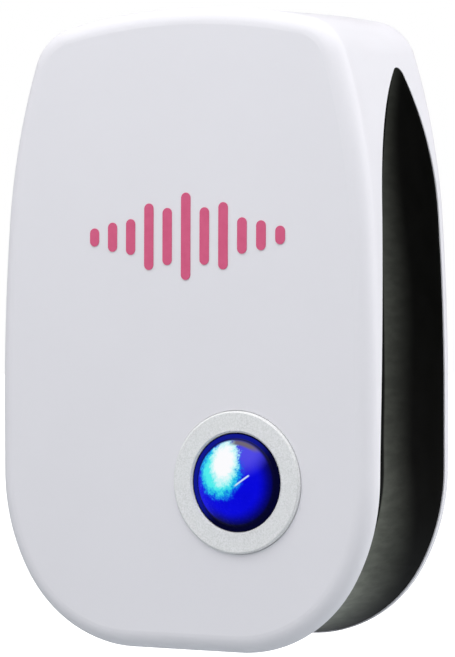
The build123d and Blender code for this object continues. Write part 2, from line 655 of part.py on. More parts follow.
with BuildPart(Plane.XY.offset(PIEZO_BOTTOM_Z + GASKET_HEIGHT + 0.1)) as piezo_disc:
    with Locations((0, PIEZO_Y)):
        Cylinder(DISC_RADIUS, DISC_THICKNESS, align=STAND)
        with Locations((0, 0, DISC_THICKNESS)):
            Cylinder(CERAMIC_RADIUS, CERAMIC_THICKNESS, align=STAND)
save("piezo_disc", piezo_disc.part)

with BuildPart(Plane.XY.offset(PIEZO_BOTTOM_Z)) as foam_gasket:
    with Locations((0, PIEZO_Y)):
        Cylinder(DISC_RADIUS, GASKET_HEIGHT, align=STAND)
        Cylinder(DISC_RADIUS - GASKET_WIDTH, GASKET_HEIGHT, align=STAND, mode=Mode.SUBTRACT)
save("foam_gasket", foam_gasket.part)

# ---------------------------------------------------------------- main board

with BuildPart(facing_front(BOARD_BACK_Y)) as main_board:
    with Locations((0, (BOARD_TOP_Z + BOARD_BOTTOM_Z) / 2)):
        Box(BOARD_WIDTH, BOARD_TOP_Z - BOARD_BOTTOM_Z, BOARD_THICKNESS, align=STAND)
    fillet(main_board.edges().filter_by(Axis.Y), radius=2)
    with Locations(*BOARD_SCREW_PLACES):
        Cylinder(SMALL_SCREW_RADIUS + FIT_GAP, FAR, mode=Mode.SUBTRACT)
save("main_board", main_board.part)


def axial_part(radius, length, lead_radius, span):
    """Component lying along X on two bent leads, standing on z = 0."""
    height = radius + 0.6  # its body clears the board by this much
    with BuildPart() as piece:
        with Locations(Location((0, 0, height), (0, 90, 0))):
            Cylinder(radius, length)
        fillet(piece.edges().filter_by(GeomType.CIRCLE), radius=radius * 0.3)
        with BuildLine() as lead:
            FilletPolyline(
                (-span / 2, 0, 0),
                (-span / 2, 0, height),
                (span / 2, 0, height),
                (span / 2, 0, 0),
                radius=1.0,
            )
        with BuildSketch(Plane.XY):
            with Locations((-span / 2, 0)):
                Circle(lead_radius)
        sweep(path=lead.line)
    return piece.part


def place_on_board(name, piece, places, angle=0):
    """Stand copies of a component on the main board at (x, z) places and write them."""
    with BuildPart(facing_front(BOARD_FACE_Y)) as group:
        for x, z in places:
            with Locations(Location((x, z, 0), (0, 0, angle))):
                add(piece)
    save(name, group.part)


rectifier_diode = axial_part(radius=1.35, length=5, lead_radius=0.38, span=9)
place_on_board("rectifier_diodes", rectifier_diode, [(-21 + 4 * n, 2) for n in range(4)], 90)

zener_diode = axial_part(radius=0.95, length=4, lead_radius=0.28, span=8)
place_on_board("zener_diode", zener_diode, [(-4, 2)], 90)

resistor = axial_part(radius=1.15, length=6, lead_radius=0.3, span=10)
place_on_board("resistors", resistor, [(-21 + 4 * n, -11) for n in range(5)], 90)

fusible_resistor = axial_part(radius=1.7, length=8, lead_radius=0.38, span=13)
place_on_board("fusible_resistor", fusible_resistor, [(-6, 25.5)])

with BuildPart() as film_capacitor:
    Box(17.5, 8.5, 12, align=STAND)
    fillet(film_capacitor.edges().filter_by(Axis.Z), radius=0.8)
    fillet(film_capacitor.faces().sort_by(Axis.Z)[-1].edges(), radius=0.5)
place_on_board("film_capacitor", film_capacitor.part, [(-14, 15)])


def can_capacitor(radius, height):
    """Standing electrolytic capacitor: a can with a rolled groove and a scored top."""
    with BuildPart() as can:
        Cylinder(radius, height, align=STAND)
        fillet(can.edges().sort_by(Axis.Z)[-1], radius=radius * 0.12)
        with Locations((0, 0, height * 0.12)):
            Torus(radius + 0.15, 0.5, mode=Mode.SUBTRACT)
        with BuildSketch(Plane.XY.offset(height)):
            Rectangle(radius * 1.3, 0.3)
            Rectangle(0.3, radius * 1.3)
        extrude(amount=-0.2, mode=Mode.SUBTRACT)
    return can.part


place_on_board("filter_capacitor", can_capacitor(5.0, 13.0), [(10, 14)])
place_on_board("supply_capacitor", can_capacitor(3.2, 8.0), [(20, 5)])

LEG_PITCH = 2.54
CHIP_LENGTH = 9.2
CHIP_WIDTH = 6.4
CHIP_HEIGHT = 3.2
CHIP_LEG_HEIGHT = 2.4

with BuildPart() as control_chip:
    Box(CHIP_LENGTH, CHIP_WIDTH, CHIP_HEIGHT, align=STAND)
    chamfer(control_chip.faces().sort_by(Axis.Z)[-1].edges(), length=0.4)
    with Locations((-CHIP_LENGTH / 2, 0, CHIP_HEIGHT)):
        Cylinder(0.9, 1.0, mode=Mode.SUBTRACT)
    for row in (-1, 1):
        with BuildSketch(Plane.XZ.offset(-row * CHIP_WIDTH / 2)):
            with Locations((0, CHIP_LEG_HEIGHT / 2)):
                with GridLocations(LEG_PITCH, 0, 4, 1):
                    Rectangle(1.1, CHIP_LEG_HEIGHT)
        extrude(amount=-row * 0.9)
place_on_board("control_chip", control_chip.part, [(-14, -25)])

with BuildPart() as transistor:
    with BuildSketch(Plane.XY.offset(3.0)):
        Circle(2.3)
        with Locations((0, -2.6)):
            Rectangle(6, 2.6, mode=Mode.SUBTRACT)
    extrude(amount=4.6)
    with BuildSketch(Plane.XY):
        with GridLocations(LEG_PITCH / 2, 0, 3, 1):
            Rectangle(0.45, 0.45)
    extrude(amount=3.2)
place_on_board("drive_transistors", transistor.part, [(-20 + 7 * n, -36) for n in range(3)])

COIL_FLANGE_RADIUS = 6.0
COIL_FLANGE_HEIGHT = 1.6
COIL_WINDING_RADIUS = 5.2
COIL_HEIGHT = 11.0

with BuildPart() as step_up_coil:
    Cylinder(COIL_FLANGE_RADIUS, COIL_FLANGE_HEIGHT, align=STAND)
    Cylinder(COIL_WINDING_RADIUS, COIL_HEIGHT - COIL_FLANGE_HEIGHT, align=STAND)
    with Locations((0, 0, COIL_HEIGHT - COIL_FLANGE_HEIGHT)):
        Cylinder(COIL_FLANGE_RADIUS, COIL_FLANGE_HEIGHT, align=STAND)
place_on_board("step_up_coil", step_up_coil.part, [(17, -9)])

with BuildPart() as ceramic_capacitor:
    with BuildSketch(Plane.XZ.offset(-0.7)):
        with Locations((0, 4.2)):
            Circle(2.4)
    extrude(amount=1.4)
    fillet(ceramic_capacitor.edges().filter_by(GeomType.CIRCLE), radius=0.5)
    with BuildSketch(Plane.XY):
        with GridLocations(LEG_PITCH, 0, 2, 1):
            Circle(0.27)
    extrude(amount=3.4)
place_on_board("ceramic_capacitors", ceramic_capacitor.part, [(4, -3), (4, -9), (4, -15)])

# ---------------------------------------------------------------- wires


def wire(start, end, start_way, end_way, radius):
    """Insulated wire that leaves one point in one direction and arrives in another."""
    with BuildPart() as lead:
        with BuildLine() as route:
            Spline(start, end, tangents=(start_way, end_way))
        with BuildSketch(Plane(origin=route.line @ 0, z_dir=route.line % 0)):
            Circle(radius)
        sweep()
    return lead.part


MAINS_WIRE_RADIUS = 0.55
SIGNAL_WIRE_RADIUS = 0.5
MAINS_PAD_X = 19.0  # where the mains wires meet the board
MAINS_PAD_Z = 12.0
SOUNDER_PAD_Z = -42.0
LAMP_WIRE_PITCH = 2.2
LAMP_PAD_Z = LAMP_Z + 5
CLIP_TAB_X = PIN_SPACING / 2 + CLIP_REACH
CLIP_MIDDLE_Y = PIN_FLANGE_Y - CLIP_THICKNESS / 2

for side, name in ((-1, "live_wire"), (1, "neutral_wire")):
    supply = wire(
        start=(side * CLIP_TAB_X, CLIP_MIDDLE_Y, 0),
        end=(side * MAINS_PAD_X, BOARD_BACK_Y, MAINS_PAD_Z),
        start_way=(side, 0, 0),
        end_way=(0, -1, 0),
        radius=MAINS_WIRE_RADIUS,
    )
    save(name, supply)

with BuildPart() as sounder_wires:
    for x in (-WIRE_HOLE_SPACING / 2, WIRE_HOLE_SPACING / 2):
        sounder_wire = wire(
            start=(x, PIEZO_Y, PIEZO_BOTTOM_Z + HOLDER_HEIGHT),
            end=(x, BOARD_FACE_Y, SOUNDER_PAD_Z),
            start_way=(0, 0, 1),
            end_way=(0, 1, 0),
            radius=SIGNAL_WIRE_RADIUS,
        )
        add(sounder_wire)
save("sounder_wires", sounder_wires.part)

with BuildPart() as lamp_wires:
    for x in (LAMP_X - LAMP_WIRE_PITCH, LAMP_X, LAMP_X + LAMP_WIRE_PITCH):
        lamp_wire = wire(
            start=(x, LED_BOARD_BACK_Y, LAMP_Z),
            end=(x, BOARD_FACE_Y, LAMP_PAD_Z),
            start_way=(0, 1, 0),
            end_way=(0, 1, 0),
            radius=SIGNAL_WIRE_RADIUS,
        )
        add(lamp_wire)
save("lamp_wires", lamp_wires.part)
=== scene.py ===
"""Looks for the plug-in ultrasonic pest repeller: materials, lamp glow, spring, stage and camera.

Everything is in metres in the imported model's frame: +X to the right, +Y into the wall, +Z up.
"""

import json
import math

import bmesh
import bpy
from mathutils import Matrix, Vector


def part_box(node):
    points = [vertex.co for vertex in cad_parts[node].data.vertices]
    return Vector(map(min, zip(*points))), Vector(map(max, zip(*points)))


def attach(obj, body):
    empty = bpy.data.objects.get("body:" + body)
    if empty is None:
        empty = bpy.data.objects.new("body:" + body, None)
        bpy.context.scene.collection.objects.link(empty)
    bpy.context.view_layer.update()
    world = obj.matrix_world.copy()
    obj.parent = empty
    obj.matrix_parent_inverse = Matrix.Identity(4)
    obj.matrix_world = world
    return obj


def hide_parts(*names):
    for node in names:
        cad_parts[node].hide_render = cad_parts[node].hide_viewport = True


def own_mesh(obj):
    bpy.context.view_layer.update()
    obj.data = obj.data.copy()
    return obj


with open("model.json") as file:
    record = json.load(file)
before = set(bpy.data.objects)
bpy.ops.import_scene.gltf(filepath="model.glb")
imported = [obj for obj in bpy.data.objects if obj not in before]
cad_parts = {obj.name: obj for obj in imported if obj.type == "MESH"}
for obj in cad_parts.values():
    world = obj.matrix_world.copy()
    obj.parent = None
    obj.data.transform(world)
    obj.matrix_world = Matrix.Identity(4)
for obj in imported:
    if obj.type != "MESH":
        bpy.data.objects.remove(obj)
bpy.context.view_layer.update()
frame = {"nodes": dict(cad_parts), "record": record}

MM = 0.001

# ---------------------------------------------------------------- places taken from the frame


def middle(node):
    """Centre of a CAD node's box."""
    low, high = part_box(node)
    return (low + high) / 2


casing_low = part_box("front_cover")[0]
casing_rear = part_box("rear_cover")[1].y
BODY_CENTRE = Vector((0, (casing_low.y + casing_rear) / 2, middle("front_cover").z))
lamp = middle("lamp_lens")
LENS_RADIUS = 9.05 * MM  # the part of the lens seen inside the ring

# ---------------------------------------------------------------- node helpers


class Graph:
    """Builds one node tree, for a material or for the world."""

    def __init__(self, owner):
        owner.use_nodes = True
        self.tree = owner.node_tree
        self.tree.nodes.clear()

    def length(self, first, second):
        """Length of a flat vector given by its two parts."""
        squares = self.math("ADD", self.product(first, first), self.product(second, second))
        return self.math("SQRT", squares)

    def product(self, *values):
        """All the values multiplied together."""
        result = values[0]
        for value in values[1:]:
            result = self.math("MULTIPLY", result, value)
        return result

    def add(self, kind, settings=None, **inputs):
        """New node; an input is named with _ for each space, and takes a value or a socket."""
        made = self.tree.nodes.new(kind)
        for name, value in (settings or {}).items():
            setattr(made, name, value)
        for name, value in inputs.items():
            self.feed(made.inputs[name.replace("_", " ")], value)
        return made

    def feed(self, socket, value):
        """Link a socket into an input, or set the input to a plain value."""
        if isinstance(value, bpy.types.NodeSocket):
            self.tree.links.new(value, socket)
        else:
            socket.default_value = value

    def place(self):
        """Position in metres in the model's frame."""
        return self.add("ShaderNodeTexCoord").outputs["Object"]

    def math(self, operation, *values):
        """One Math node; each value is a number or a socket."""
        made = self.add("ShaderNodeMath", {"operation": operation})
        for socket, value in zip(made.inputs, values):
            self.feed(socket, value)
        return made.outputs[0]

    def fade(self, value, start, end, low=0.0, high=1.0, curve="SMOOTHSTEP"):
        """low while value is below start, high above end, and a smooth or straight ramp between."""
        made = self.add(
            "ShaderNodeMapRange",
            {"interpolation_type": curve},
            Value=value,
            From_Min=start,
            From_Max=end,
            To_Min=low,
            To_Max=high,
        )
        return made.outputs["Result"]

    def mix(self, factor, first, second):
        """Colour that goes from first to second as factor goes from 0 to 1."""
        made = self.add("ShaderNodeMix", {"data_type": "RGBA"})
        self.feed(made.inputs[0], factor)
        self.feed(made.inputs[6], first)
        self.feed(made.inputs[7], second)
        return made.outputs[2]

    def noise(self, size, detail=3.0, roughness=0.55, stretch=(1, 1, 1)):
        """Soft random pattern whose features are about size metres wide."""
        scaled = self.add("ShaderNodeMapping", {"vector_type": "POINT"}, Vector=self.place())
        scaled.inputs["Scale"].default_value = stretch
        made = self.add(
            "ShaderNodeTexNoise",
            Vector=scaled.outputs[0],
            Scale=1 / size,
            Detail=detail,
            Roughness=roughness,
        )
        return made.outputs["Fac"]

    def bump(self, height, depth, under=None):
        """Normal bent by a height pattern that is depth metres tall, on top of another one."""
        made = self.add("ShaderNodeBump", Height=height, Distance=depth, Strength=1.0)
        if under:
            self.feed(made.inputs["Normal"], under)
        return made.outputs["Normal"]

    def finish(self, shader):
        """Send a shader to the material's surface."""
        self.add("ShaderNodeOutputMaterial", Surface=shader.outputs[0])


def material(name):
    """New material and the graph that builds it."""
    made = bpy.data.materials.new(name)
    return made, Graph(made)


def tint(colour, amount):
    """Colour scaled lighter or darker."""
    return tuple(min(1.0, part * amount) for part in colour)


# ---------------------------------------------------------------- materials


def moulded_plastic(name, colour, roughness, grain=0.35 * MM, depth=0.012 * MM, mottle=0.03, **more):
    """Injection-moulded plastic: faint flow mottling, spark-eroded grain and uneven sheen."""
    made, g = material(name)
    cloud = g.noise(18 * MM, detail=2)
    base = g.mix(cloud, (*tint(colour, 1 - mottle), 1), (*tint(colour, 1 + mottle), 1))
    fine = g.noise(grain, detail=4, roughness=0.6)
    orange_peel = g.noise(2.6 * MM, detail=2)
    normal = g.bump(orange_peel, depth * 1.5, under=g.bump(fine, depth))
    sheen = g.fade(g.noise(7 * MM, detail=5), 0.3, 0.7, roughness * 0.88, roughness * 1.12)
    shader = g.add(
        "ShaderNodeBsdfPrincipled", Base_Color=base, Roughness=sheen, Normal=normal, **more
    )
    g.finish(shader)
    return made


def cover_white():
    """Cool white of the two covers, satin and very even."""
    return moulded_plastic(
        "cover_white",
        (0.79, 0.78, 0.825),
        roughness=0.48,
        depth=0.006 * MM,
        mottle=0.012,
        Specular_IOR_Level=0.35,
    )


# heights above the front cover's foot, in mm, where the painted sheen on the dark frame changes
LEAN_STARTS = 25  # the cover's edge is upright below this
SHOULDER = 82  # and leans back more steeply above this
SHEEN_NARROWS = 60
SHEEN_TOP = 105


def behind_edge(g, up, depth):
    """Depth in mm behind the cover's side edge, which leans back in two parabolas towards its top."""
    for start, steepness in ((LEAN_STARTS, 900), (SHOULDER, 73)):
        above = g.math("MAXIMUM", g.math("SUBTRACT", up, start), 0.0)
        depth = g.math("SUBTRACT", depth, g.math("DIVIDE", g.product(above, above), steepness))
    return depth


def frame_black():
    """Satin black moulding with a painted sheen: greenish grey along its front edge,
    fading to deep black behind.

    The painted sheen follows the curved edge of the front cover and is widest and palest at the foot,
    where a painted reflection of the floor is added.
    """
    made, g = material("frame_black")
    split = g.add("ShaderNodeSeparateXYZ", Vector=g.place())
    frame_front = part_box("mid_frame")[0].y
    up = g.math("DIVIDE", g.math("SUBTRACT", split.outputs["Z"], casing_low.z), MM)
    depth = g.math("DIVIDE", g.math("SUBTRACT", split.outputs["Y"], frame_front), MM)
    behind = behind_edge(g, up, depth)
    # how wide the painted sheen is, and how pale at its front
    near_top = g.fade(up, SHEEN_NARROWS, SHEEN_TOP)
    width = g.math("SUBTRACT", g.fade(up, 2, 40, 28, 14), g.product(near_top, 8))
    sheen_strength = g.math("SUBTRACT", g.fade(up, 4, 50, 0.22, 0.06), g.product(near_top, 0.03))
    # painted reflection of the floor, paler near the foot
    sheen_strength = g.math("ADD", sheen_strength, g.fade(up, 1, 18, 0.34, 0))
    ramp = g.fade(g.math("DIVIDE", behind, width), 0, 1, 1, 0, "LINEAR")
    # painted shadow: a thin black line just behind the edge, whose overhang hides more of the frame
    # lower down
    hidden = g.math("ADD", g.fade(up, 45, 80, 1.2, -0.2), g.fade(up, 24, 42, 0.8, 0))
    past_line = g.fade(g.math("SUBTRACT", behind, hidden), 0.7, 1.4)
    sheen_streaks = g.fade(g.noise(1.5 * MM, detail=4, stretch=(1, 0.3, 1)), 0.3, 0.7, 0.85, 1.15)
    # the painted sheen, as grey mixed into the black
    grey = g.product(g.math("POWER", ramp, 1.6), sheen_strength, past_line, sheen_streaks)
    shader = g.add(
        "ShaderNodeBsdfPrincipled",
        Base_Color=g.mix(grey, (0.0012, 0.0012, 0.001, 1), (0.95, 1.0, 0.86, 1)),
        Roughness=g.fade(g.noise(5 * MM, detail=4), 0.3, 0.7, 0.30, 0.36),
        Specular_IOR_Level=0.02,
        Normal=g.bump(g.noise(0.25 * MM), 0.004 * MM),
    )
    g.finish(shader)
    return made


def metal(name, colour, roughness, grain=0.3 * MM, stretch=(1, 1, 1), depth=0.008 * MM):
    """Metal with drawn or stamped grain and slightly dulled patches."""
    made, g = material(name)
    grain_height = g.noise(grain, detail=3, stretch=stretch)
    dull = g.noise(4 * MM, detail=4)
    base = g.mix(dull, (*tint(colour, 0.85), 1), (*colour, 1))
    shader = g.add(
        "ShaderNodeBsdfPrincipled",
        Base_Color=base,
        Metallic=1.0,
        Roughness=g.fade(dull, 0.3, 0.7, roughness * 1.25, roughness * 0.85),
        Normal=g.bump(grain_height, depth),
    )
    g.finish(shader)
    return made


def lamp_offsets(g):
    """Distance from the lamp's axis, and the sideways and upward offsets, in lens radii."""
    shifted = g.add("ShaderNodeVectorMath", {"operation": "SUBTRACT"})
    g.feed(shifted.inputs[0], g.place())
    shifted.inputs[1].default_value = (lamp.x, 0, lamp.z)
    split = g.add("ShaderNodeSeparateXYZ", Vector=shifted.outputs[0])
    across = g.math("DIVIDE", split.outputs["X"], LENS_RADIUS)
    up = g.math("DIVIDE", split.outputs["Z"], LENS_RADIUS)
    return g.length(across, up), across, up


TURNED_LINES = 260.0  # phase of the ring's turning lines, in radians for each lens radius


def ring_silver():
    """Satin silver-white ring: fine turned lines and sparkle grain."""
    made, g = material("ring_silver")
    out = lamp_offsets(g)[0]
    lines = g.math("SINE", g.product(out, TURNED_LINES))
    grain = g.noise(0.30 * MM, detail=4, roughness=0.75)
    cloud = g.noise(1.6 * MM, detail=3)
    speckle = g.mix(g.fade(grain, 0.35, 0.65), (0.70, 0.71, 0.71, 1), (0.88, 0.88, 0.90, 1))
    base = g.mix(g.fade(cloud, 0.3, 0.7, 0.0, 0.5), speckle, (0.80, 0.81, 0.81, 1))
    normal = g.bump(lines, 0.003 * MM, under=g.bump(grain, 0.012 * MM))
    shader = g.add(
        "ShaderNodeBsdfPrincipled",
        Base_Color=base,
        Metallic=0.06,
        Specular_IOR_Level=0.25,
        Roughness=g.fade(grain, 0.3, 0.7, 0.50, 0.65),
        Normal=normal,
    )
    g.finish(shader)
    return made


def bright_oval(g, across, up, centre, size):
    """How far out a place is in an oval on the lens, with a ragged edge: 0 inside, 1 at its rim."""
    coarse = g.fade(g.noise(1.2 * MM, detail=5, roughness=0.75), 0.25, 0.75, -0.20, 0.20, "LINEAR")
    fine = g.fade(g.noise(0.35 * MM, detail=3, roughness=0.8), 0.25, 0.75, -0.10, 0.10, "LINEAR")
    sideways = g.math("DIVIDE", g.math("SUBTRACT", across, centre[0]), size[0])
    upward = g.math("DIVIDE", g.math("SUBTRACT", up, centre[1]), size[1])
    return g.math("ADD", g.length(sideways, upward), g.math("ADD", coarse, fine))


def scratch(g, across, up):
    """Mask of one thin bright line that runs up to the right from the middle of the lens."""
    line_x, line_z = 0.80, 0.60  # its direction
    run = g.math("ADD", g.product(across, line_x), g.product(up, line_z))
    off = g.math("SUBTRACT", g.product(up, line_x), g.product(across, line_z))
    thin = g.fade(g.math("ABSOLUTE", g.math("ADD", off, 0.125)), 0.004, 0.026, 1.0, 0.0)
    begins = g.fade(run, 0.04, 0.14)
    stops = g.fade(run, 0.42, 0.46, 1.0, 0.0)
    return g.product(thin, begins, stops)


def lens_body(g, out, across, up, lean):
    """Blue inside the rim: mottled, painted shade towards the lower right, paler where a painted sky
    reflection lies.
    """
    body = g.mix(g.noise(2.2 * MM, detail=4), (0.0, 0.0, 0.64, 1), (0.002, 0.002, 0.80, 1))
    # painted shade near the rim on the lower right
    painted_shade = g.product(g.fade(out, 0.58, 0.86), g.fade(lean, 0.35, 0.75))
    body = g.mix(painted_shade, body, (0.0, 0.0, 0.10, 1))
    # painted reflection of the sky, paler violet at the upper right
    sky = g.length(g.math("SUBTRACT", across, 0.32), g.math("SUBTRACT", up, 0.58))
    return g.mix(g.fade(sky, 0.10, 0.50, 0.9, 0.0), body, (0.085, 0.07, 0.80, 1))


def lens_blue():
    """Deep blue lens lit from inside: a rim with painted shade, a blue body and a painted white-to-cyan
    hot spot.
    """
    made, g = material("lens_blue")
    out, across, up = lamp_offsets(g)
    # 0 at the upper left of the lens and 1 at its lower right
    lean = g.fade(g.math("SUBTRACT", across, up), -0.9, 0.9, 0.0, 1.0, "LINEAR")
    glow = lens_body(g, out, across, up, lean)
    spot = bright_oval(g, across, up, (-0.26, 0.24), (0.55, 0.59))
    core = bright_oval(g, across, up, (-0.16, 0.42), (0.38, 0.54))
    # the lamp's hot spot as painted glare at a fixed place, from its blue fringe in to its white core
    for oval, full, gone, colour in (
        (spot, 0.88, 1.10, (0.004, 0.11, 0.80, 1)),
        (spot, 0.76, 0.98, (0.01, 0.50, 0.80, 1)),
        (spot, 0.58, 0.86, (0.08, 0.88, 0.86, 1)),
        (core, 0.72, 1.02, (0.55, 0.96, 0.95, 1)),
        (core, 0.46, 0.80, (1.0, 1.0, 1.0, 1)),
    ):
        glow = g.mix(g.fade(oval, full, gone, 1.0, 0.0), glow, colour)
    glow = g.mix(scratch(g, across, up), glow, (0.65, 0.80, 0.95, 1))
    # painted reflection: a brownish crescent under the rim at the top
    crescent_reflection = g.product(g.fade(out, 0.74, 0.80), g.fade(up, 0.58, 0.74), g.fade(across, -0.15, 0.05))
    glow = g.mix(crescent_reflection, glow, (0.16, 0.13, 0.15, 1))
    # the rim: navy on the upper left, with painted shade to black on the lower right, between two lines
    # of painted shade in the gaps
    rim = g.mix(g.fade(lean, 0.25, 0.70), (0.004, 0.008, 0.25, 1), (0.0, 0.0, 0.004, 1))
    rim = g.mix(g.fade(out, 0.975, 0.995), rim, (0.0, 0.0, 0.004, 1))
    from_gap = g.math("ABSOLUTE", g.math("SUBTRACT", out, 0.885))
    rim = g.mix(g.fade(from_gap, 0.0, 0.03, 0.8, 0.0), rim, (0, 0, 0.01, 1))
    glow = g.mix(g.fade(out, 0.83, 0.88), glow, rim)
    shader = g.add(
        "ShaderNodeBsdfPrincipled",
        Base_Color=(0.0, 0.0, 0.02, 1),
        Roughness=g.fade(g.noise(0.8 * MM), 0.3, 0.7, 0.20, 0.30),
        Specular_IOR_Level=0.05,
        Emission_Color=glow,
        Emission_Strength=0.96,
    )
    g.finish(shader)
    return made


def ink_pink():
    """Pad-printed ink: slightly uneven cover with a matt skin."""
    made, g = material("ink_pink")
    patch = g.noise(1.2 * MM, detail=5)
    base = g.mix(patch, (0.62, 0.075, 0.19, 1), (0.72, 0.12, 0.25, 1))
    shader = g.add(
        "ShaderNodeBsdfPrincipled",
        Base_Color=base,
        Roughness=g.fade(patch, 0.3, 0.7, 0.42, 0.6),
        Normal=g.bump(g.noise(0.25 * MM), 0.004 * MM),
    )
    g.finish(shader)
    return made


def banded(name, node, ground, ends, bands, axis="Z", roughness=0.35):
    """Painted component: bands across it, and tinned leads beyond its ends.

    ends is the half length of its body; each band is (place along the body, half width, colour).
    """
    made, g = material(name)
    centre = middle(node)
    along = g.add("ShaderNodeSeparateXYZ", Vector=g.place()).outputs[axis]
    along = g.math("SUBTRACT", along, centre["XYZ".index(axis)])
    cloud = g.noise(1.5 * MM)
    base = g.mix(cloud, (*tint(ground, 0.85), 1), (*ground, 1))
    for place, half_width, colour in bands:
        away = g.math("ABSOLUTE", g.math("SUBTRACT", along, place * MM))
        band = g.fade(away, half_width * MM, (half_width + 0.08) * MM, 1.0, 0.0)
        base = g.mix(band, base, (*colour, 1))
    lead = g.fade(g.math("ABSOLUTE", along), ends * MM, (ends + 0.05) * MM)
    base = g.mix(lead, base, (0.60, 0.60, 0.58, 1))
    shader = g.add(
        "ShaderNodeBsdfPrincipled",
        Base_Color=base,
        Metallic=lead,
        Roughness=g.fade(cloud, 0.3, 0.7, roughness * 0.85, roughness * 1.15),
        Normal=g.bump(g.noise(0.3 * MM), 0.006 * MM),
    )
    g.finish(shader)
    return made


def board_green():
    """Solder mask over copper: a net of paler tracks with tinned pads between them."""
    made, g = material("board_green")
    cells = 1 / (5 * MM)
    edges = g.add("ShaderNodeTexVoronoi", {"feature": "DISTANCE_TO_EDGE"}, Vector=g.place(), Scale=cells)
    track = g.fade(edges.outputs["Distance"], 0.05, 0.09, 1.0, 0.0)
    centres = g.add("ShaderNodeTexVoronoi", Vector=g.place(), Scale=cells)
    pad = g.fade(centres.outputs["Distance"], 0.13, 0.16, 1.0, 0.0)
    mask = g.mix(g.noise(9 * MM), (0.012, 0.09, 0.035, 1), (0.018, 0.12, 0.05, 1))
    base = g.mix(track, mask, (0.04, 0.22, 0.10, 1))
    base = g.mix(pad, base, (0.62, 0.62, 0.60, 1))
    shader = g.add(
        "ShaderNodeBsdfPrincipled",
        Base_Color=base,
        Metallic=pad,
        Roughness=g.fade(g.noise(0.5 * MM), 0.3, 0.7, 0.30, 0.42),
        Normal=g.bump(track, 0.03 * MM),
    )
    g.finish(shader)
    return made


def wound_ferrite():
    """Drum core: dark ferrite flanges with enamelled copper wound between them."""
    made, g = material("ferrite")
    low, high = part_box("step_up_coil")
    split = g.add("ShaderNodeSeparateXYZ", Vector=g.place())
    depth = split.outputs["Y"]
    flange, blur, wire_pitch = 1.6 * MM, 0.05 * MM, 0.35 * MM
    before_back = g.fade(depth, high.y - flange - blur, high.y - flange, 1.0, 0.0)
    past_front = g.fade(depth, low.y + flange, low.y + flange + blur)
    wound = g.product(before_back, past_front)
    turns = g.math("SINE", g.product(depth, 2 * math.pi / wire_pitch))
    core = g.mix(g.noise(0.6 * MM), (0.030, 0.030, 0.032, 1), (0.055, 0.055, 0.055, 1))
    shader = g.add(
        "ShaderNodeBsdfPrincipled",
        Base_Color=g.mix(wound, core, (0.50, 0.17, 0.05, 1)),
        Metallic=g.product(wound, 0.8),
        Roughness=g.fade(wound, 0, 1, 0.75, 0.30),
        Normal=g.bump(g.product(turns, wound), 0.08 * MM),
    )
    g.finish(shader)
    return made


def capacitor_sleeve():
    """Shrink sleeve with a pale stripe down one side and a bare aluminium top."""
    made, g = material("capacitor_sleeve")
    split = g.add("ShaderNodeSeparateXYZ", Vector=g.place())
    across, depth = split.outputs["X"], split.outputs["Y"]
    stripe, top = 0.0, 0.0
    for node in ("filter_capacitor", "supply_capacitor"):
        low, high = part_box(node)
        width = high.x - low.x
        past_left = g.fade(across, low.x - 0.02 * width, low.x)
        before_right = g.fade(across, high.x, high.x + 0.02 * width, 1.0, 0.0)
        own = g.product(past_left, before_right)
        left_edge = g.fade(across, low.x + 0.12 * width, low.x + 0.14 * width, 1.0, 0.0)
        front_end = g.fade(depth, low.y + 0.15 * MM, low.y + 0.20 * MM, 1.0, 0.0)
        stripe = g.math("MAXIMUM", stripe, g.product(left_edge, own))
        top = g.math("MAXIMUM", top, g.product(front_end, own))
    sleeve = g.mix(g.noise(3 * MM), (0.006, 0.008, 0.035, 1), (0.010, 0.014, 0.055, 1))
    base = g.mix(stripe, sleeve, (0.55, 0.58, 0.62, 1))
    shader = g.add(
        "ShaderNodeBsdfPrincipled",
        Base_Color=g.mix(top, base, (0.72, 0.72, 0.73, 1)),
        Metallic=top,
        Roughness=g.fade(g.noise(1.5 * MM), 0.3, 0.7, 0.22, 0.34),
        Normal=g.bump(g.noise(2.5 * MM), 0.02 * MM),
    )
    g.finish(shader)
    return made


def led_clear():
    """Clear blue-tinted epoxy that glows brightest at its tip."""
    made, g = material("led_clear")
    low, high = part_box("blue_leds")
    depth = g.add("ShaderNodeSeparateXYZ", Vector=g.place()).outputs["Y"]
    tip = g.fade(depth, low.y, high.y, 1.0, 0.0)
    shader = g.add(
        "ShaderNodeBsdfPrincipled",
        Base_Color=g.mix(tip, (0.10, 0.20, 0.75, 1), (0.35, 0.60, 1.0, 1)),
        Roughness=g.fade(g.noise(1 * MM), 0.3, 0.7, 0.08, 0.14),
        Transmission_Weight=0.6,
        Emission_Color=(0.05, 0.15, 1.0, 1),
        Emission_Strength=g.fade(tip, 0.3, 1.0, 0.2, 1.6),
    )
    g.finish(shader)
    return made


# colours of the bands on resistors and diodes
BROWN = (0.10, 0.03, 0.01)
BLACK = (0.01, 0.01, 0.01)
RED = (0.45, 0.02, 0.02)
GOLD = (0.55, 0.38, 0.08)
PALE = (0.70, 0.70, 0.70)

